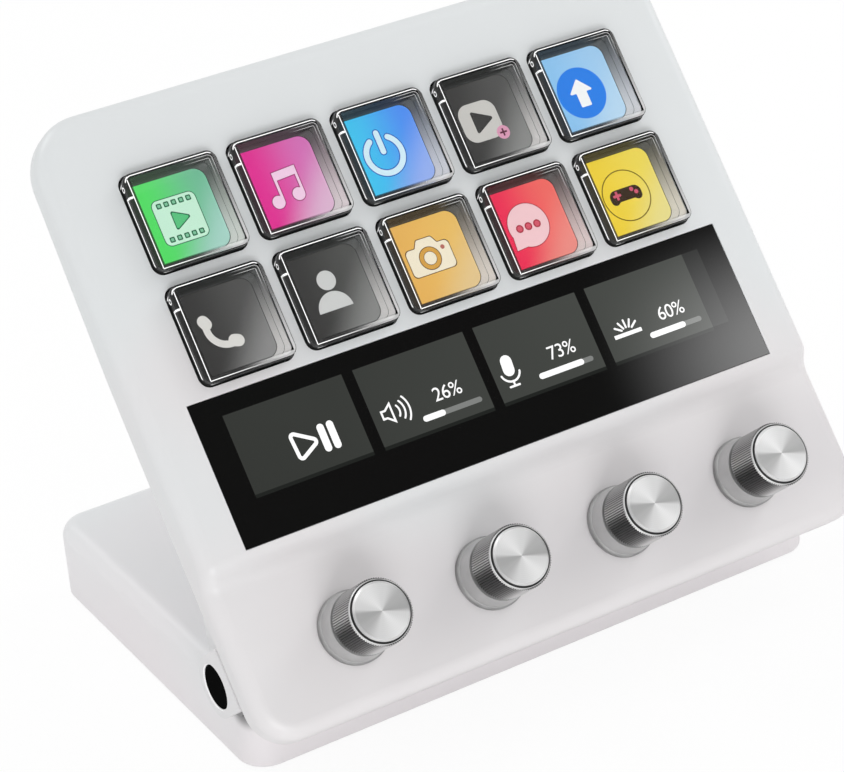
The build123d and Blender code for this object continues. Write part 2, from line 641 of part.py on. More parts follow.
def hinge_pin(x):
    reach = KNUCKLE_W / 2 + SIDE_GAP + PIN_SEAT
    return cross_rod(PIN_R, x - reach, x + reach, HINGE_Y, HINGE_Z)


# ------------------------------------------------------------------ the nodes
save("base_shell", base_shell(), False)
save("base_cover", base_cover(), False)
save("base_weight", base_weight(), False)
save("grip_pad", grip_pad(), False)
save("base_screws", screws(base_posts(), PAD_PROUD, POST_BORE - SCREW_TIP), False)
for n, x in enumerate(KNUCKLE_X, 1):
    save(f"hinge_pin_{n}", hinge_pin(x), False)

save("front_housing", front_housing())
save("rear_housing", rear_housing())
for n, side in enumerate((-1, 1), 1):
    save(f"hinge_cap_{n}", hinge_cap(side))
save("housing_screws", screws(boss_places(), PAN_OUT, UNDERSIDE - 2 * SCREW_TIP))
save("key_frame", key_frame())
save("key_mat", key_mat())
save("key_display", key_display())
save("strip_glass", strip_glass())
save("strip_display", strip_display())
save("main_board", main_board())
save("knob_board", knob_board())
save("board_ribbon", board_ribbon())
save("usb_socket", usb_socket())
for n, (u, v) in enumerate(KEY_CENTRES, 1):
    save(f"keycap_{n}", keycap(u, v))
for n, u in enumerate(KNOB_U, 1):
    save(f"knob_collar_{n}", knob_collar(u))
    save(f"encoder_body_{n}", encoder_body(u))
    save(f"encoder_nut_{n}", encoder_nut(u))
    save(f"encoder_plunger_{n}", encoder_plunger(u))
    save(f"encoder_shaft_{n}", encoder_shaft(u))
    save(f"knob_sleeve_{n}", knob_sleeve(u))
    save(f"knob_face_{n}", knob_face(u))
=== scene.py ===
"""Look of the desk macro keypad: finishes, pictures under the keys, the strip screen, light and camera."""
import json
from math import atan2, cos, pi, radians, sin

import bpy
from mathutils import Euler, Matrix, Vector


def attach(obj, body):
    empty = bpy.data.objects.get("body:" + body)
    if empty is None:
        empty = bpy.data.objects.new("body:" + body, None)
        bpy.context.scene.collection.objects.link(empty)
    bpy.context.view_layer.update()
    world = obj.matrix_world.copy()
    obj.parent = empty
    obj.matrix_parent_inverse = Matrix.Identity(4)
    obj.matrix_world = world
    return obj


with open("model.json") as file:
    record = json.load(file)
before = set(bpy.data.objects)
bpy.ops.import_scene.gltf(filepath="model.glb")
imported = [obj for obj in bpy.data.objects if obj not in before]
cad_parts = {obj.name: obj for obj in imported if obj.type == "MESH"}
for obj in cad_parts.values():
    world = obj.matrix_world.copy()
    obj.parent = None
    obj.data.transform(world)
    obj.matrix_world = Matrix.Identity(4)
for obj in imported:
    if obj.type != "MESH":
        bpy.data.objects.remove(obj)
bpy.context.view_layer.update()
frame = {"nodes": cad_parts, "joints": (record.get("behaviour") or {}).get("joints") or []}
NODES = frame["nodes"]

# ------------------------------------------------------------------ sizes, in mm and degrees
MM = 0.001
JOINTS = {joint["name"]: joint for joint in frame["joints"]}


def joint_place(name):
    """Where a joint turns, in the row frame."""
    return tuple(round(c / MM, 3) for c in JOINTS[name]["pos_m"])


TILT = 50.0                             # of the face at rest
HINGE = joint_place("panel_tilt")
ACROSS = (1.0, 0.0, 0.0)                                  # u, right along the face
UP = (0.0, cos(radians(TILT)), sin(radians(TILT)))        # v, up the face
OUT = (0.0, -sin(radians(TILT)), cos(radians(TILT)))      # w, out of the face
FACE = Matrix.Translation(Vector(HINGE) * MM) @ Matrix.Rotation(radians(TILT), 4, "X") @ Matrix.Scale(MM, 4)

PITCH, TOP_ROW = 23.0, 84.3             # between two keys, and v of the upper row
KEYS = [(PITCH * column, TOP_ROW - PITCH * row) for row in (0, 1) for column in (-2, -1, 0, 1, 2)]
TILE_W, TILE_H, TILE_TOP = 15.8, 16.3, 15.2               # a picture tile's width, height and w
TILE_CORNERS = (0.4, 2.5, 2.5, 0.4)     # lower left, lower right, upper right, upper left
CAP_HALF, CAP_CORNER = 9.9, 1.95        # a clear cap's half width and corners
CAP_BEVEL, CAP_TOP = 0.3, 19.5          # its bevel and the w of its top

WELL_LOW, WELL_WAIST, WELL_HIGH = 15.25, 16.75, 18.2      # w of a light well's foot, middle and top
WELL_LEDGE = 0.2                        # how much wider its foot is than the tile
WELL_TOP, WELL_CORNER = 18.4, 1.4       # width and corners of its top
WELL_PLAY = 0.05                        # between its fixed lower half and the upper half on the cap
WAIST_HALF = 8.6                        # about half the width where the two halves meet

FIRST_KNOB = joint_place("knob_1_spin")[0]
KNOB_PITCH = joint_place("knob_2_spin")[0] - FIRST_KNOB
KNOB_NECK = 28.9                        # w where a knob's knurl ends
TOOTH_ROOT, TOOTH_TIP = 6.2, 6.36       # of the knurl, from the knob's axis
GROOVE_IN, GROOVE_OUT, LIP_OUT = 5.82, 6.02, 6.1          # the groove round the disc, and the lip round it
RIM_IN, RIM_OUT = 4.4, 4.62             # painted highlight on the rim round a hinge cap, from the hinge

GLASS_TOP = 17.15                       # w of the strip screen
LAYER = 0.012                           # step between two printed layers


# ------------------------------------------------------------------ shader writing
class Wire:
    """A socket of a node tree. Arithmetic on it adds Math nodes."""

    def __init__(self, tree, socket=None):
        self.tree, self.socket = tree, socket

    def add(self, kind, settings=None, inputs=None, out=0):
        """Add a node: its settings first, then the values or links of its sockets."""
        node = self.tree.nodes.new("ShaderNode" + kind)
        for key, value in (settings or {}).items():
            if key == "stops":
                ramp = node.color_ramp.elements
                while len(ramp) < len(value):
                    ramp.new(0.5)
                for element, (at, colour) in zip(ramp, value):
                    element.position, element.color = at, colour
            elif key == "easing":
                node.color_ramp.interpolation = value
            else:
                setattr(node, key, value)
        for key, value in (inputs or {}).items():
            if isinstance(value, Wire):
                self.tree.links.new(value.socket, node.inputs[key])
            else:
                node.inputs[key].default_value = value
        return Wire(self.tree, node.outputs[out])

    def other(self, name):
        """Another output of the same node."""
        return Wire(self.tree, self.socket.node.outputs[name])

    def math(self, operation, *values):
        """A Math node on the same tree."""
        return self.add("Math", {"operation": operation}, dict(enumerate(values)))

    def __add__(self, value):
        return self.math("ADD", self, value)

    def __radd__(self, value):
        return self.math("ADD", value, self)

    def __sub__(self, value):
        return self.math("SUBTRACT", self, value)

    def __rsub__(self, value):
        return self.math("SUBTRACT", value, self)

    def __mul__(self, value):
        return self.math("MULTIPLY", self, value)

    def __rmul__(self, value):
        return self.math("MULTIPLY", value, self)

    def __truediv__(self, value):
        return self.math("DIVIDE", self, value)

    def __abs__(self):
        return self.math("ABSOLUTE", self)

    def step(self, low, high):
        """0 below low, 1 above high, smooth between."""
        return self.add("MapRange", {"interpolation_type": "SMOOTHSTEP"},
                        {"Value": self, "From Min": low, "From Max": high})

    def mix(self, first, second):
        """Blend two colours by this value."""
        return self.add("Mix", {"data_type": "RGBA"}, {0: self, 6: first, 7: second}, 2)


def srgb(r, g, b):
    """A colour given as 0-255 screen values, in linear light."""
    return tuple((c / 255 / 12.92) if c <= 10 else ((c / 255 + 0.055) / 1.055) ** 2.4 for c in (r, g, b))


def opaque(colour):
    """A colour with its alpha."""
    return (*colour, 1.0)


def grey(level):
    """A neutral colour with its alpha."""
    return (level, level, level, 1.0)


def dimmed(colour, share):
    """A colour with a share of its light."""
    return tuple(c * share for c in colour)


def finish(name, recipe):
    """A material: recipe gives the sockets of its shader as numbers, colours or wires."""
    material = bpy.data.materials.new(name)
    material.use_nodes = True
    tree = material.node_tree
    shader = tree.nodes["Principled BSDF"]
    for key, value in recipe(Wire(tree)).items():
        if isinstance(value, Wire):
            tree.links.new(value.socket, shader.inputs[key])
        else:
            shader.inputs[key].default_value = value
    return material


def where(w):
    """The object's own coordinates, in metres in the row frame."""
    return w.add("TexCoord", out="Object")


def along(w, axis, origin=(0.0, 0.0, 0.0)):
    """Distance in mm from origin along a direction of the row frame."""
    away = w.add("VectorMath", {"operation": "SUBTRACT"}, {0: where(w), 1: [c * MM for c in origin]})
    return w.add("VectorMath", {"operation": "DOT_PRODUCT"}, {0: away, 1: [c / MM for c in axis]}, "Value")


def across_face(w):
    """u of a point, in mm."""
    return along(w, ACROSS)


def up_face(w):
    """v of a point, in mm."""
    return along(w, UP, HINGE)


def out_of_face(w):
    """w of a point, in mm."""
    return along(w, OUT, HINGE)


def any_of(first, *others):
    """The greatest of several masks."""
    for mask in others:
        first = first.math("MAXIMUM", first, mask)
    return first


def length(first, *others):
    """Length of a line given by its parts along square directions."""
    squares = first * first
    for part in others:
        squares = squares + part * part
    return squares.math("SQRT", squares)


def between(value, low, high, soft=0.05):
    """1 where value lies from low to high, with soft ends."""
    return value.step(low - soft, low + soft) * (1.0 - value.step(high - soft, high + soft))


def from_nearest(value, first, pitch):
    """Distance past the nearest of a row of places a pitch apart, first being one of them."""
    return value.math("FLOORED_MODULO", value - (first - pitch / 2), pitch) - pitch / 2


def in_key(w):
    """Distance right of and above the middle of the nearest key, in mm."""
    u, v = KEYS[0]
    return from_nearest(across_face(w), u, PITCH), from_nearest(up_face(w), v, PITCH)


def noise(w, per_mm, detail=2.0, stretch=None):
    """Noise with about per_mm blotches to a millimetre, 0 to 1 about 0.5."""
    at = where(w)
    if stretch:
        at = w.add("VectorMath", {"operation": "MULTIPLY"}, {0: at, 1: stretch})
    return w.add("TexNoise", inputs={"Vector": at, "Scale": per_mm / MM, "Detail": detail})


def bump(w, height, depth_mm, strength=1.0):
    """A normal that makes height, 0 to 1, look depth_mm deep."""
    return w.add("Bump", inputs={"Height": height, "Distance": depth_mm * MM, "Strength": strength})


def greys(w, value, *stops, easing="LINEAR"):
    """A grey that changes along value; each stop is a place and a level."""
    stops = [(at, grey(level)) for at, level in stops]
    return w.add("ValToRGB", {"stops": stops, "easing": easing}, {"Fac": value})


# ------------------------------------------------------------------ finishes of the CAD nodes
COOL, WARM = srgb(219, 222, 223), srgb(222, 219, 220)            # the two clouds of the white face
BASE_COOL, BASE_WARM = srgb(225, 228, 229), srgb(229, 225, 227)  # and of the base
EAR_CORNER = (65.8, -39.3, 13.0)        # corner of the base under an ear, on the right; the left mirrors it
# colour of the painted shade in the corners under the ears
EAR_SHADE = srgb(112, 111, 112)
# what the chin between the knobs is multiplied by: painted shade
CHIN_SHADE = (0.925, 0.925, 0.93)


def moulded(colour, rough, gloss=0.5):
    """Fine-grained moulded plastic with a faint cloud in its tone."""
    def recipe(w):
        return {"Base Color": noise(w, 0.03).mix(opaque(dimmed(colour, 0.94)), opaque(colour)),
                "Roughness": noise(w, 0.4) * 0.08 + (rough - 0.04), "Specular IOR Level": gloss,
                "Normal": bump(w, noise(w, 5.0, 3.0), 0.004)}
    return recipe


def white_shell(w, cool=COOL, warm=WARM):
    """Satin white shell: cool and warm clouds, warmer low down, with a very fine spark grain."""
    cloud = (noise(w, 0.018, 1.0) + (35.0 - up_face(w)) * 0.006).step(0.3, 0.7)
    return {"Base Color": cloud.mix(opaque(cool), opaque(warm)), "Roughness": noise(w, 0.5) * 0.06 + 0.36,
            "Normal": bump(w, noise(w, 6.0, 3.0), 0.0035)}


def ear_corner(w, near, far):
    """A mask of painted shade in the two corners between the ears' undersides and the base."""
    side = abs(across_face(w))
    back, up = along(w, (0, 1, 0), EAR_CORNER), along(w, (0, 0, 1), EAR_CORNER)
    away = length(side - EAR_CORNER[0], back, up)
    return (1.0 - away.step(near, far)) * (1.0 - side.step(69.2, 69.7)) * 0.85


def base_shell(w):
    """The white shell, a shade paler, with deep shade in the two corners under the ears."""
    sockets = white_shell(w, BASE_COOL, BASE_WARM)
    sockets["Base Color"] = ear_corner(w, 1.6, 4.8).mix(sockets["Base Color"], opaque(EAR_SHADE))
    return sockets


def rear_shell(w):
    """The white shell, with a painted highlight on the rim round the hinge caps and shade under its ears."""
    sockets = white_shell(w)
    away = length(along(w, (0, 1, 0), HINGE), along(w, (0, 0, 1), HINGE))
    # painted highlight: the rim round each hinge cap is painted white
    rim = away.step(RIM_IN, RIM_IN + 0.05) * (1.0 - away.step(RIM_OUT, RIM_OUT + 0.13))
    shaded = ear_corner(w, 3.6, 5.6).mix(sockets["Base Color"], opaque(EAR_SHADE))
    sockets["Base Color"] = rim.mix(shaded, grey(1.0))
    return sockets


def front_shell(w):
    """The white shell, with painted shade along the chin between the knobs."""
    sockets = white_shell(w)
    # painted shade on the chin between the knobs
    chin = (1.0 - abs(up_face(w)).step(3.0, 15.0)) * across_face(w).step(-48.0, -22.0)
    sockets["Base Color"] = w.add("Mix", {"data_type": "RGBA", "blend_type": "MULTIPLY"},
                                  {0: chin, 6: sockets["Base Color"], 7: opaque(CHIN_SHADE)}, 2)
    return sockets


def clear_plastic(w):
    """Polished clear plastic with hair-fine handling marks."""
    return {"Base Color": opaque((0.965, 0.98, 0.985)), "Transmission Weight": 1.0, "IOR": 1.3,
            "Roughness": noise(w, 0.3) * 0.02 + 0.008}


def cap_wall_shade(across, up, inside):
    """Painted shade on a clear cap, standing in for its walls and the gap round it seen dark: a band on the
    left and below, and the outline's own edge.
    """
    low_band = (1.0 - up.step(-8.75, -8.6)) * (1.0 - across.step(-4.0, 6.0) * 0.8) * 0.85
    band = any_of(1.0 - across.step(-8.45, -8.35), low_band) * (1.0 - up.step(8.9, 9.0))
    edge = (1.0 - inside.step(0.0, 0.3)) * (1.0 - across.step(8.6, 9.3))
    top_edge = (1.0 - inside.step(0.34, 0.42)) * up.step(8.6, 8.9)
    return any_of(band, edge, top_edge) * 0.86


def plate_highlights(across, up, inside):
    """Painted highlights along the edges of a clear cap's plate."""
    wall_edge = between(across, -9.04, -8.86, 0.03) * (1.0 - up.step(8.75, 8.9)) * up.step(-9.5, -9.3)
    foot = between(up, -9.56, -9.4, 0.03) * across.step(-9.0, -8.8) * (1.0 - across.step(-8.6, 6.0) * 0.7)
    top_edge = between(inside, 0.42, 0.6, 0.04) * up.step(8.9, 9.1) * (1.0 - across.step(9.2, 9.5))
    slope = between(inside, 0.3, 0.5, 0.04) * (1.0 - across.step(-8.9, -8.5)) * up.step(8.2, 8.5)
    corner_lines = between(inside, 0.95, 1.1, 0.04) + between(inside, 1.6, 1.72, 0.04)
    corner_lines = corner_lines * across.step(2.0, 6.5) * up.step(1.0, 8.0) * 0.4
    right_rim = across.step(9.05, 9.15) * (0.5 - up.step(-9.0, 9.0) * 0.42)
    low_rim = (1.0 - up.step(-9.0, -8.8)) * across.step(-2.0, 8.5) * 0.42
    pale_side = any_of(right_rim, low_rim) * inside.step(0.14, 0.22)
    return any_of(wall_edge, foot, top_edge, slope, corner_lines, pale_side)


def wall_highlights(across, up, height):
    """Painted glints on the walls of a clear cap: lines, a notch, a hook and a small ring."""
    left = 1.0 - across.step(-9.9, -9.75)
    side_glint = left * between(height, 17.95, 18.4, 0.06) * (1.0 - up.step(5.1, 5.3))
    low_side = (1.0 - up.step(-9.9, -9.75)) * (1.0 - across.step(-8.5, -6.0))
    low_side_glint = between(height, 17.6, 17.9, 0.06) * low_side
    notch_glint = between(up, 5.05, 5.45, 0.08) * (1.0 - across.step(-9.2, -9.0)) * height.step(17.9, 18.0)
    hook_glint = between(height - 1.6 * (up - 8.2), 17.35, 18.0, 0.1) * left * between(up, 7.9, 9.2, 0.1)
    ring = between(length(height - 18.25, up - 7.35), 0.34, 0.6) * left
    return any_of(side_glint, low_side_glint, notch_glint, hook_glint, ring)


def cap_shade_and_highlights(w):
    """Two masks of a clear cap: its painted shade, and its painted highlights and glints."""
    across, up = in_key(w)
    height = out_of_face(w)
    over = [side.math("MAXIMUM", abs(side) - (CAP_HALF - CAP_CORNER), 0.0) for side in (across, up)]
    inside = CAP_CORNER - length(*over)
    on_top = height.step(CAP_TOP - CAP_BEVEL - 0.06, CAP_TOP - CAP_BEVEL)
    bright = any_of(plate_highlights(across, up, inside) * on_top, wall_highlights(across, up, height))
    return cap_wall_shade(across, up, inside), bright


def key_plastic():
    """Clear plastic with painted shade for its walls and glowing painted highlights on its edges."""
    material = finish("key_clear", clear_plastic)
    tree = material.node_tree
    w = Wire(tree)
    clear = Wire(tree, tree.nodes["Principled BSDF"].outputs[0])
    dark, bright = cap_shade_and_highlights(w)
    # dark gloss for the painted shade that stands in for the cap's walls
    walls = w.add("BsdfPrincipled", inputs={"Base Color": grey(0.028), "Roughness": 0.22,
                                            "Specular IOR Level": 0.14})
    # glowing white for the painted highlights and glints on the cap
    highlight_shader = w.add("BsdfPrincipled", inputs={"Base Color": grey(0.93), "Roughness": 0.35,
                                          "Emission Color": grey(1.0), "Emission Strength": 0.3})
    wall_shaded = w.add("MixShader", inputs={0: dark, 1: clear, 2: walls})
    mixed = w.add("MixShader", inputs={0: bright, 1: wall_shaded, 2: highlight_shader})
    tree.links.new(mixed.socket, tree.nodes["Material Output"].inputs["Surface"])
    return material


def black_glass(w):
    """Black screen glass with a trace of smear in its gloss."""
    violet, green = opaque((0.0054, 0.0048, 0.0050)), opaque((0.0058, 0.0064, 0.0058))
    return {"Base Color": noise(w, 0.02).mix(violet, green), "Roughness": noise(w, 0.06) * 0.03 + 0.035,
            "IOR": 1.5}


def screen_body(w):
    """Dark bonded display module."""
    return {"Base Color": noise(w, 0.2).mix(opaque((0.006, 0.006, 0.007)), opaque((0.012, 0.012, 0.013))),
            "Roughness": noise(w, 0.5) * 0.1 + 0.3}


def circuit(w):
    """Green solder mask over faint tracks."""
    tracks = w.add("TexBrick", inputs={
        "Vector": where(w), "Scale": 180.0, "Mortar Size": 0.03, "Color1": opaque((0.01, 0.07, 0.03)),
        "Color2": opaque((0.012, 0.09, 0.04)), "Mortar": opaque((0.03, 0.16, 0.07))})
    return {"Base Color": tracks, "Roughness": noise(w, 0.5) * 0.1 + 0.3,
            "Normal": bump(w, tracks.other("Fac"), 0.02, 0.5)}


def rubber(w):
    """Matt rubber with a fine stipple."""
    return {"Base Color": noise(w, 0.1).mix(grey(0.012), grey(0.022)),
            "Roughness": noise(w, 1.0) * 0.1 + 0.72, "Normal": bump(w, noise(w, 3.0, 3.0), 0.03)}


def steel(w):
    """Turned steel with fine lines."""
    return {"Base Color": noise(w, 0.3).mix(grey(0.42), opaque((0.55, 0.55, 0.54))),
            "Metallic": 1.0, "Roughness": noise(w, 1.5) * 0.12 + 0.24,
            "Normal": bump(w, noise(w, 4.0, stretch=(6.0, 1.0, 1.0)), 0.004)}


def round_knob(w):
    """Distance from the nearest knob's axis in mm, and the turn round it: 0 at its left, 0.25 below it."""
    across, up = from_nearest(across_face(w), FIRST_KNOB, KNOB_PITCH), up_face(w)
    return length(across, up), w.math("ARCTAN2", up, across) / (2 * pi) + 0.5


def knurled(w):
    """Knurled grip with painted highlights on its tooth tips, painted shade in its grooves and on one side,
    and a front of fine rings painted lighter and darker round the knob.
    """
    away, turn = round_knob(w)
    # painted light and shade round the knob, by the turn: the tooth tips, the tooth ends and the groove
    # round the disc
    tips = greys(w, turn, (0.0, 0.26), (0.03, 0.11), (0.11, 0.13), (0.16, 0.30), (0.21, 0.68), (0.33, 0.68),
                 (0.80, 0.38), (0.90, 0.40), (0.96, 0.62), (0.98, 0.50), (1.0, 0.26))
    ends = greys(w, turn, (0.0, 0.66), (0.18, 0.6), (0.24, 0.08), (0.3, 0.03), (0.42, 0.03), (0.5, 0.2),
                 (0.58, 0.3), (0.63, 0.06), (0.76, 0.05), (0.84, 0.25), (0.93, 0.5))
    groove = greys(w, turn, (0.0, 0.02), (0.24, 0.02), (0.34, 0.4), (0.78, 0.45), (0.87, 0.05), (1.0, 0.02))
    # dark tooth roots: painted shade in the grooves
    grip = away.step(TOOTH_ROOT, TOOTH_TIP).mix(grey(0.055), tips)
    inner = away.step(GROOVE_IN, GROOVE_IN + 0.04).mix(grey(0.62), groove)
    lip = away.step(GROOVE_OUT, GROOVE_OUT + 0.04).mix(inner, grey(0.66))
    front = away.step(LIP_OUT, LIP_OUT + 0.06).mix(lip, ends)
    ring = out_of_face(w).step(KNOB_NECK - 0.04, KNOB_NECK)
    return {"Base Color": ring.mix(grip, front), "Metallic": 0.9 - ring * 0.15,
            "Roughness": noise(w, 1.2) * 0.05 + 0.34}


def spun_disc(w):
    """Spun face: painted reflections in two darker and two brighter sectors, and faint rings."""
    away, turn = round_knob(w)
    dark, dim, soft, light = 0.40, 0.45, 0.68, 0.80
    # painted reflections of the spun finish: bright and dark by the turn round the knob
    painted_sheen = greys(w, turn, (0.0, dark), (0.06, dim), (0.17, soft), (0.32, light), (0.43, soft),
                   (0.47, dark), (0.56, dim), (0.67, soft), (0.82, light), (0.93, soft), (0.97, dark),
                   (1.0, dark), easing="EASE")
    rings = w.math("SINE", away * 17.0) * 0.5 + 0.5
    ringed = (rings * 0.04).mix(painted_sheen, grey(0.3))
    return {"Base Color": (away.step(5.2, 5.3) * 0.35).mix(ringed, grey(0.55)), "Metallic": 0.75,
            "Roughness": rings * 0.03 + 0.42}


def turned_collar(w):
    """Matt turned collar, with painted shade on its low rim."""
    low = 1.0 - out_of_face(w).step(15.6, 15.9)
    shade = low.mix(grey(0.58), grey(0.17))
    return {"Base Color": noise(w, 0.3).mix(shade, grey(0.46)), "Metallic": 0.8,
            "Roughness": noise(w, 1.2) * 0.06 + 0.47}


BASE = finish("base_white", base_shell)
REAR = finish("rear_white", rear_shell)
SHELL = finish("shell_white", front_shell)
CLEAR = key_plastic()
GLASS = finish("screen_glass", black_glass)
MODULE = finish("display_module", screen_body)
BOARD = finish("circuit_board", circuit)
BLACK = finish("black_plastic", moulded((0.008, 0.008, 0.0085), 0.34))
CAP_BLACK = finish("cap_black", moulded((0.0045, 0.0045, 0.0045), 0.5, gloss=0.0))
RUBBER = finish("rubber", rubber)
STEEL = finish("steel", steel)
COLLAR = finish("collar_aluminium", turned_collar)
SLEEVE = finish("knob_aluminium", knurled)
DISC = finish("disc_aluminium", spun_disc)

FINISHES = {
    "base_shell": BASE, "base_cover": BASE, "front_housing": SHELL, "rear_housing": REAR,
    "base_weight": STEEL, "base_screws": STEEL, "housing_screws": STEEL, "hinge_pin": STEEL,
    "grip_pad": RUBBER, "key_mat": RUBBER, "hinge_cap": CAP_BLACK, "key_frame": BLACK,
    "key_display": MODULE, "strip_display": MODULE, "strip_glass": GLASS, "keycap": CLEAR,
    "main_board": BOARD, "knob_board": BOARD, "board_ribbon": BLACK, "usb_socket": STEEL,
    "knob_collar": COLLAR, "knob_sleeve": SLEEVE, "knob_face": DISC,
    "encoder_body": STEEL, "encoder_nut": STEEL, "encoder_plunger": BLACK, "encoder_shaft": STEEL,
}
for name, node in NODES.items():
    kind = name.rstrip("0123456789").rstrip("_")
    node.data.materials.clear()
    node.data.materials.append(FINISHES[kind])


# ------------------------------------------------------------------ flat outlines, (u, v) in mm
CORNER_STEPS = 8


def arc(cx, cy, r, start, end, count=24):
    """Points of an arc, start and end in degrees."""
    return [(cx + r * cos(radians(start + (end - start) * i / count)),
             cy + r * sin(radians(start + (end - start) * i / count))) for i in range(count + 1)]


def disc(cx, cy, r, count=48):
    """Points of a circle."""
    return arc(cx, cy, r, 0.0, 360.0 - 360.0 / count, count - 1)


def rounded(points, r):
    """A polygon with its corners rounded by r, or by each corner's own r."""
    loop = []
    radii = r if isinstance(r, (list, tuple)) else [r] * len(points)
    for i, (here, radius) in enumerate(zip(points, radii)):
        if radius <= 0:
            loop.append(tuple(here))
            continue
        corner, before = Vector(here), Vector(points[i - 1])
        after = Vector(points[(i + 1) % len(points)])
        a, b = (before - corner).normalized(), (after - corner).normalized()
        half = a.angle(b) / 2
        reach = radius / max(1e-6, abs(sin(half) / cos(half)))
        centre = corner + (a + b).normalized() * (radius / sin(half))
        first, last = corner + a * reach - centre, corner + b * reach - centre
        turn = atan2(first.x * last.y - first.y * last.x, first.dot(last))
        at = atan2(first.y, first.x)
        loop += [(centre.x + radius * cos(at + turn * k / CORNER_STEPS),
                  centre.y + radius * sin(at + turn * k / CORNER_STEPS)) for k in range(CORNER_STEPS + 1)]
    return loop


def box(cx, cy, w, h, r=0.0):
    """A rectangle about its middle, with rounded corners."""
    x, y = w / 2, h / 2
    return rounded([(cx - x, cy - y), (cx + x, cy - y), (cx + x, cy + y), (cx - x, cy + y)], r)


def line_end(p, away, half):
    """Points of the half circle that ends a line at p."""
    at = atan2(away.y, away.x) + pi / 2
    return [(p.x + half * cos(at - pi * k / CORNER_STEPS), p.y + half * sin(at - pi * k / CORNER_STEPS))
            for k in range(1, CORNER_STEPS)]


def stroke(points, width, closed=False):
    """Outline of a line of that width: two loops if it is closed, and else one loop with round ends."""
    points = [Vector(p) for p in points]
    n, half = len(points), width / 2
    sides = []
    for side in (1, -1):
        loop = []
        for i, p in enumerate(points):
            before = points[i - 1] if (closed or i) else p
            after = points[(i + 1) % n] if (closed or i < n - 1) else p
            coming, going = p - before, after - p
            coming = coming.normalized() if coming.length else going.normalized()
            going = going.normalized() if going.length else coming
            square = Vector((-coming.y, coming.x))
            middle = (square + Vector((-going.y, going.x))).normalized()
            loop.append(tuple(p + middle * (side * half / max(0.3, middle.dot(square)))))
        sides.append(loop)
    if closed:
        return sides
    last = line_end(points[-1], points[-1] - points[-2], half)
    first = line_end(points[0], points[0] - points[1], half)
    return [sides[0] + last + sides[1][::-1] + first]


def lay(name, loops, w, material):
    """Lay filled outlines on the face at height w. An outline inside another is a hole."""
    curve = bpy.data.curves.new(name, "CURVE")
    curve.dimensions, curve.fill_mode = "2D", "FRONT"
    for loop in loops:
        spline = curve.splines.new("POLY")
        spline.points.add(len(loop) - 1)
        for point, (x, y) in zip(spline.points, loop):
            point.co = (x, y, 0.0, 1.0)
        spline.use_cyclic_u = True
    lay_curve(name, curve, (0.0, 0.0, w), material)


def lay_curve(name, curve, place, material):
    """Turn a flat curve or text into a mesh on the face, with its own zero at place, and fix it there."""
    maker = bpy.data.objects.new(name + "_outline", curve)
    bpy.context.scene.collection.objects.link(maker)
    bpy.context.view_layer.update()
    mesh = bpy.data.meshes.new_from_object(maker.evaluated_get(bpy.context.evaluated_depsgraph_get()))
    bpy.data.objects.remove(maker)
    mesh.name = name
    mesh.transform(FACE @ Matrix.Translation(place))
    mesh.materials.clear()
    mesh.materials.append(material)
    ride_new(name, mesh, "panel")


def ride_new(name, mesh, body):
    """Show a mesh as a piece that rides on a body."""
    piece = bpy.data.objects.new(name, mesh)
    bpy.context.scene.collection.objects.link(piece)
    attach(piece, body)


# ------------------------------------------------------------------ lit finishes
GLASSY = 0.04                           # roughness of lit marks that are as glossy as the screen glass


def lit(name, colour, level=0.8, rough=0.5):
    """A lit picture colour, with a slight unevenness in its glow; only a glassy one mirrors."""
    def recipe(w):
        return {"Base Color": opaque(dimmed(colour, 0.15)), "Roughness": rough,
                "Specular IOR Level": 0.5 if rough == GLASSY else 0.0,
                "Emission Color": noise(w, 0.15).mix(opaque(dimmed(colour, 0.94)), opaque(colour)),
                "Emission Strength": level}
    return finish(name, recipe)


def lit_tile(name, u, v, left, right, low_right_sheen):
    """A lit tile whose colour changes from its left to its right, its own colour with some painted sheen,
    and to a painted sheen at its lower right corner.
    """
    def recipe(w):
        across = (across_face(w) - u) / TILE_W + 0.5
        down = 0.5 - (up_face(w) - v) / TILE_H
        # painted sheen towards the lower right corner
        corner = (across * 0.6 + down * 0.5).step(0.58, 1.03)
        colour = corner.mix(across.step(0.1, 0.95).mix(opaque(left), opaque(right)), opaque(low_right_sheen))
        dark = w.add("Mix", {"data_type": "RGBA"}, {0: 0.85, 6: colour, 7: grey(0.0)}, 2)
        return {"Base Color": dark, "Roughness": 0.5, "Specular IOR Level": 0.0, "Emission Color": colour,
                "Emission Strength": 0.8}
    return finish(name, recipe)


# ------------------------------------------------------------------ pictures under the keys
FILM, NOTE, POWER, PLAY, ARROW, PHONE, PERSON, CAMERA, TALK, PAD = range(len(KEYS))
TILES = [                               # each tile's colour on its left and its right, both with some painted sheen, and its painted sheen low on the right
    (srgb(88, 232, 106), srgb(120, 196, 158), srgb(176, 222, 208)),
    (srgb(236, 48, 152), srgb(222, 118, 190), srgb(232, 190, 218)),
    (srgb(70, 204, 250), srgb(84, 150, 252), srgb(160, 186, 250)),
    (srgb(62, 61, 60), srgb(88, 87, 86), srgb(146, 146, 144)),
    (srgb(150, 206, 250), srgb(170, 214, 250), srgb(196, 228, 252)),
    (srgb(56, 55, 54), srgb(86, 85, 84), srgb(146, 145, 144)),
    (srgb(58, 57, 56), srgb(84, 84, 82), srgb(142, 142, 140)),
    (srgb(244, 188, 96), srgb(246, 198, 104), srgb(240, 208, 150)),
    (srgb(250, 46, 88), srgb(254, 112, 104), srgb(250, 150, 140)),
    (srgb(252, 218, 62), srgb(250, 226, 92), srgb(246, 232, 150)),
]
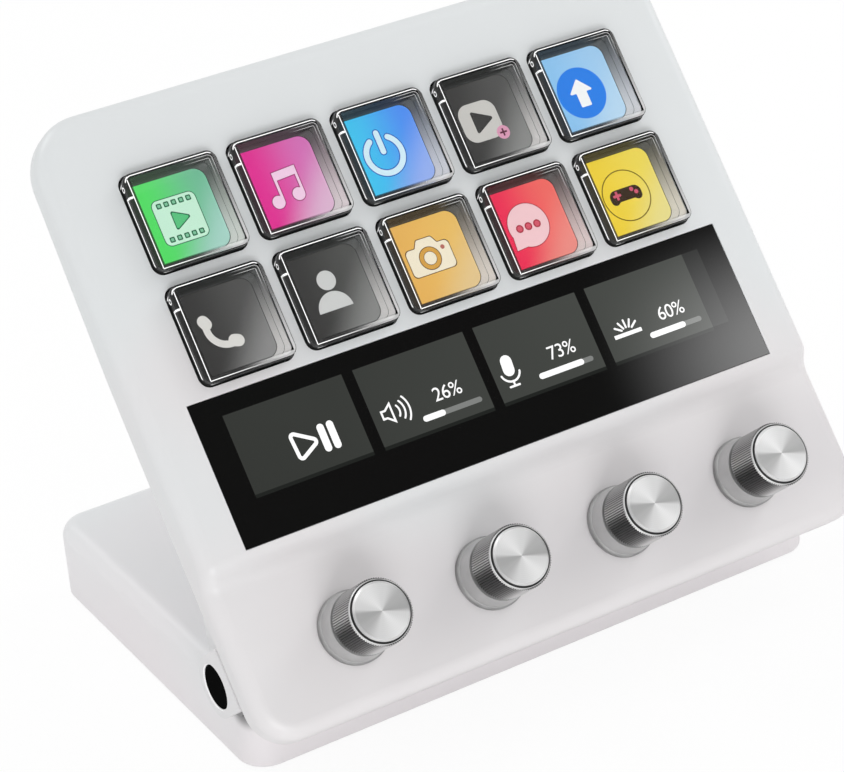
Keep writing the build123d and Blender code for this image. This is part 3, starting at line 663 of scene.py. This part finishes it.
for n, ((u, v), (left, right, low_right_sheen)) in enumerate(zip(KEYS, TILES), 1):
    glow = lit_tile(f"tile_{n}", u, v, left, right, low_right_sheen)
    lay(f"key_picture_{n}", [box(u, v, TILE_W, TILE_H, TILE_CORNERS)], TILE_TOP + LAYER, glow)


# light wells between the pictures and the clear caps
def well_finish(w):
    """Satin wall of a light well, with painted shade making it dark at its upper end, and a painted glow of
    its own colour.
    """
    _, up = in_key(w)
    shaded = up.step(-10.0, 9.5).mix(opaque(srgb(226, 222, 220)), opaque(srgb(84, 85, 84)))
    wall = up.step(8.0, 8.6).mix(shaded, opaque(srgb(34, 35, 34)))
    # the wall also glows with its own colour: painted light
    return {"Base Color": wall, "Roughness": noise(w, 0.6) * 0.1 + 0.3, "Specular IOR Level": 0.15,
            "Emission Color": wall, "Emission Strength": 0.25}


WELL = finish("well_grey", well_finish)


def ring_piece(name, rings, body):
    """A closed ring through three flat loops, each at its w; its first side is the well's sloping wall."""
    count = len(rings[0][0])
    faces = []
    for k in range(3):
        a, b = k * count, (k + 1) % 3 * count
        faces += [(a + i, a + (i + 1) % count, b + (i + 1) % count, b + i) for i in range(count)]
    mesh = bpy.data.meshes.new(name)
    mesh.from_pydata([FACE @ Vector((x, y, w)) for loop, w in rings for x, y in loop], [], faces)
    mesh.materials.append(WELL)
    mesh.materials.append(BLACK)
    for polygon in mesh.polygons:
        polygon.material_index = 0 if polygon.index < count else 1
    ride_new(name, mesh, body)


def light_well(n, u, v):
    """A wall sloping from the picture's edge out to the cap: a fixed half and a half that rides the cap."""
    foot = box(u, v, TILE_W + WELL_LEDGE, TILE_H + WELL_LEDGE, TILE_CORNERS)
    top = box(u, v, WELL_TOP, WELL_TOP, (WELL_CORNER,) * 4)
    part = (WELL_WAIST - WELL_LOW) / (WELL_HIGH - WELL_LOW)
    waist = [(a * (1 - part) + c * part, b * (1 - part) + d * part) for (a, b), (c, d) in zip(foot, top)]
    ring_piece(f"light_well_low_{n}", [(foot, WELL_LOW), (waist, WELL_WAIST), (waist, WELL_LOW)], "panel")
    wider, start = 1.0 + WELL_PLAY / WAIST_HALF, WELL_WAIST + WELL_PLAY
    outside = [(u + (x - u) * wider, v + (y - v) * wider) for x, y in waist]
    ring_piece(f"light_well_{n}", [(outside, start), (top, WELL_HIGH), (top, start)], f"key_{n}")


for n, (u, v) in enumerate(KEYS, 1):
    light_well(n, u, v)


# each picture's place on its tile and its size: right, up, scale
PLACES = [(-0.2, -0.76, 1.08), (-0.09, -0.88, 1.1), (-1.05, -0.15, 1.2), (-0.76, -0.25, 1.2),
          (-0.37, -0.81, 1.06), (-0.28, 0.5, 1.22), (-0.77, 0.26, 1.1), (-0.72, 0.78, 1.1),
          (-0.98, -0.3, 1.13), (-0.51, -0.62, 1.1)]


def icon(key, part, loops, material, layer):
    """One colour of a key's picture; loops are in mm about the middle of the tile."""
    (u, v), (right, up, scale) = KEYS[key], PLACES[key]
    placed = [[(u + right + scale * x, v + up + scale * y) for x, y in loop] for loop in loops]
    lay(f"key_{key + 1}_{part}", placed, TILE_TOP + LAYER * (1 + layer), material)


def paint(name, r, g, b, level=0.85):
    """A lit colour of a picture, given as 0-255 screen values."""
    return lit(name, srgb(r, g, b), level)


# film strip with a play mark
mint, moss = paint("mint", 206, 246, 220), paint("moss", 34, 110, 74)
icon(FILM, "frame_line", [box(-0.1, 0.3, 8.75, 8.75, 1.3)], moss, 1)
icon(FILM, "frame", [box(-0.1, 0.3, 8.45, 8.45, 1.15)], mint, 2)
holes = [(-3.0 + 1.45 * i, y) for i in range(5) for y in (3.5, -2.9)]
icon(FILM, "hole_lines", [box(x, y, 1.0, 1.0, 0.2) for x, y in holes], moss, 3)
icon(FILM, "holes", [box(x, y, 0.55, 0.55, 0.12) for x, y in holes], paint("hole_green", 132, 200, 160), 4)
play_line = rounded([(-1.5, 2.2), (2.2, 0.35), (-1.5, -1.75)], 0.35)
play = rounded([(-1.32, 1.85), (1.78, 0.33), (-1.32, -1.42)], 0.25)
icon(FILM, "play_line", [play_line], moss, 3)
icon(FILM, "play", [play], paint("play_green", 92, 200, 130), 4)

# two joined notes
pink, plum = paint("note_pink", 250, 212, 236), paint("plum", 150, 30, 100)


def notes(grow):
    """The two notes' five parts, each widened by grow."""
    edge = grow / 2
    stems = [box(x, y, 0.5 + grow, tall + grow) for x, y, tall in ((-1.75, 0.2, 4.6), (2.45, 0.4, 4.4))]
    beam = [(-2.0 - edge, 1.6 - edge), (2.7 + edge, 1.9 - edge), (2.7 + edge, 3.5 + edge),
            (-2.0 - edge, 3.2 + edge)]
    heads = [disc(x, y, 1.2 + edge) for x, y in ((-2.7, -2.15), (1.5, -1.75))]
    return [*stems, beam, *heads]


for part, grow, colour, layer in (("note_line", 0.3, plum, 1), ("note", 0.0, pink, 2)):
    for k, loop in enumerate(notes(grow)):
        icon(NOTE, f"{part}_{k}", [loop], colour, layer + k * 0.1)

# power mark
navy, ice = paint("power_line", 30, 96, 190), paint("ice", 218, 244, 255)
for part, width, colour, layer in (("power_line", 1.35, navy, 1), ("power", 1.0, ice, 2)):
    icon(POWER, part + "_ring", stroke(arc(0, -0.35, 3.2, 122.0, 418.0, 60), width), colour, layer)
    icon(POWER, part + "_bar", stroke([(0, 3.5), (0, 0.2)], width), colour, layer + 0.1)

# play mark with a plus
stone, coal = paint("stone", 208, 205, 200), paint("coal", 62, 61, 60)
icon(PLAY, "button", [box(-0.6, 0.2, 7.2, 6.8, 2.1)], stone, 1)
icon(PLAY, "play", [rounded([(-1.9, 2.3), (2.1, 0.3), (-1.9, -1.9)], 0.3)], coal, 2)
plus_dark, plus = paint("plus_dark", 96, 44, 62), (2.6, -2.7)
icon(PLAY, "plus_disc", [disc(*plus, 1.2)], paint("plus_pink", 226, 160, 188), 3)
icon(PLAY, "plus", [box(*plus, 1.35, 0.32)], plus_dark, 4)
icon(PLAY, "plus_up", [box(*plus, 0.32, 1.35)], plus_dark, 4.1)

# arrow in a disc
icon(ARROW, "disc", [disc(0.0, 0.1, 5.2)], paint("disc_blue", 44, 132, 238), 1)
arrow = [(0.0, 3.0), (2.7, 0.2), (1.15, 0.2), (1.15, -2.7), (-1.15, -2.7), (-1.15, 0.2), (-2.7, 0.2)]
icon(ARROW, "arrow", [rounded(arrow, 0.22)], lit("arrow_white", (0.95, 0.95, 0.95), 0.9), 2)

# telephone handset
pale = paint("pale_stone", 226, 223, 218)
icon(PHONE, "handle", stroke(arc(-0.1, 0.0, 3.1, 156.0, 292.0), 1.15), pale, 1)
icon(PHONE, "ear", stroke([(-3.2, 1.5), (-2.95, 1.0)], 2.0), pale, 1.1)
icon(PHONE, "mouth", stroke([(0.5, -2.75), (1.1, -2.95)], 2.0), pale, 1.2)

# head and shoulders mark
fog = paint("fog", 212, 212, 210)
icon(PERSON, "head", [disc(0.4, 1.95, 1.8)], fog, 1)
shoulders = [(-3.2, -3.5), (3.5, -3.5)] + arc(0.15, -3.5, 3.35, 0.0, 180.0, 30)[1:-1]
icon(PERSON, "shoulders", [shoulders], fog, 1.1)

# camera
cream, honey, bark = paint("cream", 252, 240, 214), paint("honey", 222, 166, 74), paint("bark", 104, 72, 36)
body = [(-4.4, -3.4), (4.4, -3.4), (4.4, 1.7), (2.3, 1.7), (1.5, 3.1), (-1.5, 3.1), (-2.3, 1.7), (-4.4, 1.7)]
line = [(-4.55, -3.55), (4.55, -3.55), (4.55, 1.85), (2.4, 1.85), (1.6, 3.25), (-1.6, 3.25), (-2.4, 1.85),
        (-4.55, 1.85)]
radii, lens = (0.9, 0.9, 0.9, 0.3, 0.5, 0.5, 0.3, 0.9), (-0.1, -0.7)
icon(CAMERA, "line", [rounded(line, radii)], bark, 1)
icon(CAMERA, "body", [rounded(body, radii)], cream, 2)
for k, (part, r, colour) in enumerate((("lens_line", 2.2, bark), ("lens", 2.05, honey),
                                       ("lens_glass", 1.3, bark), ("lens_light", 1.2, cream)), 3):
    icon(CAMERA, part, [disc(*lens, r)], colour, k)
icon(CAMERA, "lamp", [disc(3.0, 0.6, 0.42)], paint("lamp_rose", 190, 110, 96), 3)

# speech bubble
blush, wine = paint("blush", 253, 208, 212), paint("wine", 176, 40, 62)
for part, grow, colour, layer in (("bubble_line", 0.15, wine, 1), ("bubble", 0.0, blush, 2)):
    bubble = arc(0.1, 0.3, 4.0 + grow, -115.0, 200.0, 60) + [(-3.9 - grow, -3.5 - grow)]
    icon(TALK, part, [bubble], colour, layer)
dot_rose = paint("dot_rose", 222, 92, 110)
for part, r, colour, layer in (("dot_lines", 0.74, wine, 3), ("dots", 0.5, dot_rose, 4)):
    icon(TALK, part, [disc(x, 0.1, r) for x in (-1.8, 0.0, 1.8)], colour, layer)

# game pad in a ring
soot, rose = paint("soot", 58, 40, 24), paint("pad_rose", 214, 92, 116)
icon(PAD, "ring", stroke(disc(0.1, 0.0, 4.9, 64), 0.22, True), paint("ring_olive", 120, 100, 20), 1)
grip = [(-3.3, -2.1), (-1.6, -0.9), (1.6, -0.9), (3.3, -2.1), (3.5, 1.5), (-3.5, 1.5)]
icon(PAD, "body", [rounded(grip, (0.9, 0.6, 0.6, 0.9, 1.4, 1.4))], soot, 2)
icon(PAD, "buttons", [disc(1.55, 0.85, 0.42), disc(2.35, 0.15, 0.42)], rose, 3)
icon(PAD, "cross", [box(-1.8, 0.4, 1.7, 0.5)], rose, 3.1)
icon(PAD, "cross_up", [box(-1.8, 0.4, 0.5, 1.7)], rose, 3.2)

# ------------------------------------------------------------------ strip screen
PANES = [(-54.6, -28.9), (-26.5, -1.65), (0.65, 24.6), (26.9, 50.8)]      # left and right of each pane
PANE_LOW, PANE_HIGH = 29.35, 45.35
PANE_EDGE, PANE_SIDE = 0.7, 3.9         # dim strips of painted reflection, the panes' ghosts in the glass: below each pane, and right of the last
NUMBER_LOW, NUMBER_SIZE = 34.2, 3.9
BAR_W, BAR_LIT_W = 1.05, 1.2


def pane_finish(w):
    """Lit dark pane, its glow brighter towards the right and faintly uneven, as glossy as the glass over it.
    """
    cloud = across_face(w).step(-70.0, 60.0) * 0.75 + noise(w, 0.035, 1.0) * 0.25
    glow = cloud.mix(opaque(srgb(50, 52, 49)), opaque(srgb(80, 83, 79)))
    return {"Base Color": grey(0.004), "Roughness": noise(w, 0.06) * 0.03 + 0.035, "IOR": 1.5,
            "Emission Color": glow, "Emission Strength": 0.85}


PANE = finish("screen_pane", pane_finish)
MARK = lit("screen_white", (1.0, 1.0, 1.0), 0.95, GLASSY)
TRACK = lit("screen_track", srgb(128, 130, 128), 0.9, GLASSY)
# painted reflections: the panes' dim ghosts in the glass
PANE_GHOST = lit("screen_ghost", srgb(34, 36, 34), 0.9, GLASSY)
SIDE_GHOST = lit("screen_side_ghost", srgb(44, 45, 44), 0.85, GLASSY)


def on_screen(name, loops, material, layer):
    """Lay outlines on the screen glass, so many layers up."""
    lay("screen_" + name, loops, GLASS_TOP + LAYER * layer, material)


def write(name, number, left):
    """Write a number on the screen from its left end."""
    letters = bpy.data.curves.new("screen_" + name, "FONT")
    letters.body, letters.size, letters.fill_mode = number, NUMBER_SIZE, "FRONT"
    letters.space_character = 0.95
    lay_curve("screen_" + name, letters, (left, NUMBER_LOW, GLASS_TOP + LAYER * 2), MARK)


pane_middle, pane_tall = (PANE_LOW + PANE_HIGH) / 2, PANE_HIGH - PANE_LOW
for n, (left, right) in enumerate(PANES, 1):
    middle, wide = (left + right) / 2, right - left
    on_screen(f"pane_edge_{n}", [box(middle, PANE_LOW - PANE_EDGE / 2, wide, PANE_EDGE)], PANE_GHOST, 0.5)
    on_screen(f"pane_{n}", [box(middle, pane_middle, wide, pane_tall)], PANE, 1)
on_screen("pane_side", [box(PANES[-1][1] + PANE_SIDE / 2, pane_middle, PANE_SIDE, pane_tall)], SIDE_GHOST, 0.5)

# play and pause
triangle = rounded([(-43.65, 38.15), (-38.4, 35.0), (-43.3, 32.35)], 0.6)
on_screen("play", stroke(triangle, 0.76, True), MARK, 2)
for k, u in enumerate((-37.2, -35.15)):
    on_screen(f"pause_{k}", [box(u, 35.05, 1.5, 5.6, 0.74)], MARK, 2)

# speaker with sound waves
cone = [(-24.35, 34.4), (-23.5, 34.4), (-22.15, 33.35), (-22.15, 36.95), (-23.5, 35.9), (-24.35, 35.9)]
on_screen("speaker", stroke(cone, 0.4, True), MARK, 2)
for k, (r, half) in enumerate(((1.75, 38.0), (2.85, 38.0), (3.95, 37.0))):
    on_screen(f"wave_{k}", stroke(arc(-22.3, 35.1, r, -half, half), 0.38), MARK, 2)

# microphone
on_screen("mic_head", stroke([(4.55, 37.0), (4.4, 35.2)], 2.5), MARK, 2)
on_screen("mic_cup", stroke(arc(4.45, 35.0, 2.15, 195.0, 345.0), 0.42), MARK, 2)
on_screen("mic_stem", stroke([(4.42, 32.9), (4.4, 32.0)], 0.42), MARK, 2.1)
on_screen("mic_foot", stroke([(3.3, 31.9), (5.45, 31.9)], 0.42), MARK, 2.2)

# rays of light
on_screen("ray_base", [box(32.2, 33.95, 6.5, 0.8, 0.1)], MARK, 2)
for k, angle in enumerate((146.0, 118.0, 92.0, 66.0, 38.0)):
    c, s = cos(radians(angle)), sin(radians(angle))
    ray = [(32.3 + 1.5 * c, 34.4 + 0.9 * s), (32.3 + 3.1 * c, 34.4 + 2.4 * s)]
    on_screen(f"ray_{k}", stroke(ray, 0.42), MARK, 2)

# numbers and level bars: a number and its left, then the bar's left, lit end, right and v
LEVELS = [("26%", -12.85, -16.1, -12.3, -3.9, 31.8), ("73%", 13.65, 10.6, 19.9, 22.2, 31.85),
          ("60%", 40.05, 37.2, 44.6, 48.6, 31.95)]
for n, (number, number_left, left, lit_end, right, v) in enumerate(LEVELS):
    write(f"number_{n}", number, number_left)
    on_screen(f"level_track_{n}", stroke([(left, v), (right, v)], BAR_W), TRACK, 2)
    on_screen(f"level_{n}", stroke([(left, v), (lit_end, v)], BAR_LIT_W), MARK, 3)


# ------------------------------------------------------------------ studio
def stage_piece(name, points, material, **seen):
    """A flat sheet of the studio; seen says which rays see it."""
    mesh = bpy.data.meshes.new(name)
    mesh.from_pydata(points, [], [tuple(range(len(points)))])
    mesh.materials.append(material)
    piece = bpy.data.objects.new(name, mesh)
    bpy.context.scene.collection.objects.link(piece)
    for key, value in seen.items():
        setattr(piece, key, value)


def background(w):
    """1 for the rays that meet the plain background."""
    path = w.add("LightPath")
    return any_of(*(path.other(f"Is {kind} Ray") for kind in ("Camera", "Glossy", "Transmission")))


def floor_finish():
    """White floor that keeps the object's shadow."""
    material = bpy.data.materials.new("studio_floor")
    material.use_nodes = True
    tree = material.node_tree
    w = Wire(tree)
    base = tree.nodes["Principled BSDF"]
    base.inputs["Base Color"].default_value = grey(0.97)
    base.inputs["Roughness"].default_value = 0.9
    glow = w.add("Emission", inputs={"Color": grey(1.0), "Strength": 1.0})
    seen = w.add("LightPath", out="Is Camera Ray")
    mixed = w.add("MixShader", inputs={0: seen * 0.93, 1: Wire(tree, base.outputs[0]), 2: glow})
    tree.links.new(mixed.socket, tree.nodes["Material Output"].inputs["Surface"])
    return material


FLOOR_HALF, FLOOR_DEPTH = 4.0, 5e-5     # in metres; the floor lies just under the grip pad
stage_piece("studio_floor", [(FLOOR_HALF * x, FLOOR_HALF * y, -FLOOR_DEPTH)
                             for x, y in ((-1, -1), (1, -1), (1, 1), (-1, 1))], floor_finish())

AMBIENT = 0.685
world = bpy.data.worlds.new("studio")
world.use_nodes = True
bpy.context.scene.world = world
sky = Wire(world.node_tree)
level = background(sky) * (1.0 - AMBIENT) + AMBIENT
surround = sky.add("Background", inputs={"Color": grey(1.0), "Strength": level})
world.node_tree.links.new(surround.socket, world.node_tree.nodes["World Output"].inputs["Surface"])


def lamp(name, place, aim, size, power):
    """A round soft lamp; places and size are in metres."""
    data = bpy.data.lights.new(name, "AREA")
    data.shape, data.size, data.energy = "DISK", size, power
    piece = bpy.data.objects.new(name, data)
    piece.location = place
    piece.rotation_euler = (Vector(aim) - Vector(place)).to_track_quat("-Z", "Y").to_euler()
    bpy.context.scene.collection.objects.link(piece)


lamp("key_lamp", (0.62, -0.02, 0.52), (0.0, 0.0, 0.06), 0.30, 1.2)
lamp("fill_lamp", (-0.75, -0.35, 0.55), (0.0, 0.0, 0.05), 0.8, 0.25)
lamp("low_lamp", (-0.30, -0.95, 0.09), (0.0, -0.04, 0.01), 0.5, 3.9)
lamp("rear_lamp", (-0.35, 0.60, 0.80), (-0.03, 0.03, 0.01), 0.4, 2.2)

# a card that only reflections see, for the sheen on the screen glass
REFLECTED_ONLY = {"visible_camera": False, "visible_diffuse": False, "visible_transmission": False,
                  "visible_shadow": False, "visible_volume_scatter": False}
CARD_AT = Vector((0.3268, -0.3260, 0.3545))
CARD_RIGHT = Vector((0.8457, 0.3690, -0.3855))
CARD_UP = Vector((0.0, 0.7224, 0.6915))
CARD_LEFT_END, CARD_RIGHT_END, CARD_LOW_END, CARD_HIGH_END = -0.33, 0.10, -0.075, 0.13


def card_finish():
    """Dark card with a soft bright patch; only gloss sees it."""
    material = bpy.data.materials.new("reflector_card")
    material.use_nodes = True
    tree = material.node_tree
    tree.nodes.clear()
    w = Wire(tree)
    across, up = along(w, CARD_RIGHT, CARD_AT / MM), along(w, CARD_UP, CARD_AT / MM)
    patch = across.step(-60.0, 10.0) * up.step(-34.0, -14.0) * (1.0 - up.step(-5.0, 48.0))
    below = (1.0 - up.step(-44.0, -34.0)) * 0.16
    glow = w.add("Emission", inputs={"Color": patch + below + 0.004, "Strength": 5.6})
    output = tree.nodes.new("ShaderNodeOutputMaterial")
    tree.links.new(glow.socket, output.inputs["Surface"])
    return material


card = [CARD_AT + CARD_RIGHT * x + CARD_UP * y
        for x, y in ((CARD_LEFT_END, CARD_LOW_END), (CARD_RIGHT_END, CARD_LOW_END),
                     (CARD_RIGHT_END, CARD_HIGH_END), (CARD_LEFT_END, CARD_HIGH_END))]
stage_piece("reflector_card", card, card_finish(), **REFLECTED_ONLY)

# ------------------------------------------------------------------ camera
LENS, SENSOR = 126.236, 36.0
EYE_AT, EYE_TURN = (-260.857, -456.328, 331.562), (61.1778, 3.8197, -31.8775)
camera = bpy.data.cameras.new("camera")
camera.lens, camera.sensor_width = LENS, SENSOR
eye = bpy.data.objects.new("camera", camera)
eye.location = Vector(EYE_AT) * MM
eye.rotation_euler = Euler([radians(a) for a in EYE_TURN], "XYZ")
bpy.context.scene.collection.objects.link(eye)
bpy.context.scene.camera = eye
bpy.context.scene.view_settings.view_transform = "Standard"
